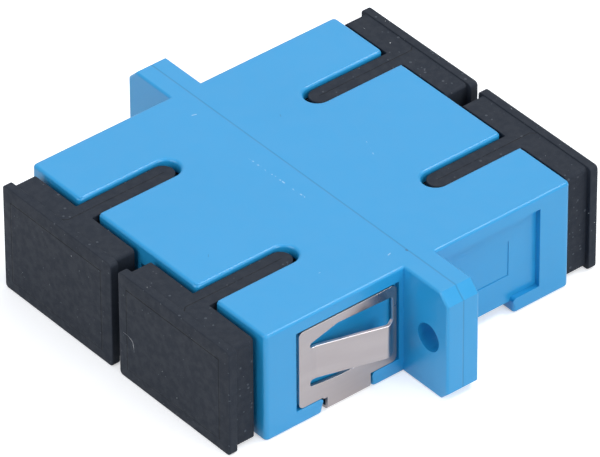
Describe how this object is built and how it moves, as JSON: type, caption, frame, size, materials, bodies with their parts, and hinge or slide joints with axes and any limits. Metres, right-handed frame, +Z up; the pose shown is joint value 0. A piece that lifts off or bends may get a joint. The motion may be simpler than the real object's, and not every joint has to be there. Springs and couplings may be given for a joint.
{
  "type": "duplex fibre adapter",
  "caption": "Flanged duplex adapter for SC fibre plugs, with keyed ports, a sprung panel clip, ceramic alignment sleeves and pull-off dust caps.",
  "frame": {"origin": "centre of the underside of the overall box, on the parting plane of the two housing halves", "axes": "+X along the flange, -Y out of the ports on the clip side, +Z up through the key slots"},
  "size_m": [0.0344, 0.033, 0.009],
  "materials": {
    "blue_plastic": "satin",
    "spring_steel": "brushed",
    "zirconia": "gloss",
    "holder_plastic": "matt",
    "cap_plastic": "matt"
  },
  "bodies": {
    "adapter": {"front_housing": "blue_plastic", "rear_housing": "blue_plastic", "panel_clip": "spring_steel", "sleeve_left": "zirconia", "sleeve_right": "zirconia", "sleeve_holder_front_left": "holder_plastic", "sleeve_holder_front_right": "holder_plastic", "sleeve_holder_rear_left": "holder_plastic", "sleeve_holder_rear_right": "holder_plastic"},
    "dust_cap_front_left": {"dust_cap_front_left": "cap_plastic"},
    "dust_cap_front_right": {"dust_cap_front_right": "cap_plastic"},
    "dust_cap_rear_left": {"dust_cap_rear_left": "cap_plastic"},
    "dust_cap_rear_right": {"dust_cap_rear_right": "cap_plastic"}
  },
  "joints": [
    {"name": "dust_cap_front_left_pull", "type": "slide", "parent": "adapter", "child": "dust_cap_front_left", "axis": [0, -1, 0], "range_m": [0, 0.012]},
    {"name": "dust_cap_front_right_pull", "type": "slide", "parent": "adapter", "child": "dust_cap_front_right", "axis": [0, -1, 0], "range_m": [0, 0.012]},
    {"name": "dust_cap_rear_left_pull", "type": "slide", "parent": "adapter", "child": "dust_cap_rear_left", "axis": [0, 1, 0], "range_m": [0, 0.012]},
    {"name": "dust_cap_rear_right_pull", "type": "slide", "parent": "adapter", "child": "dust_cap_rear_right", "axis": [0, 1, 0], "range_m": [0, 0.012]}
  ]
}
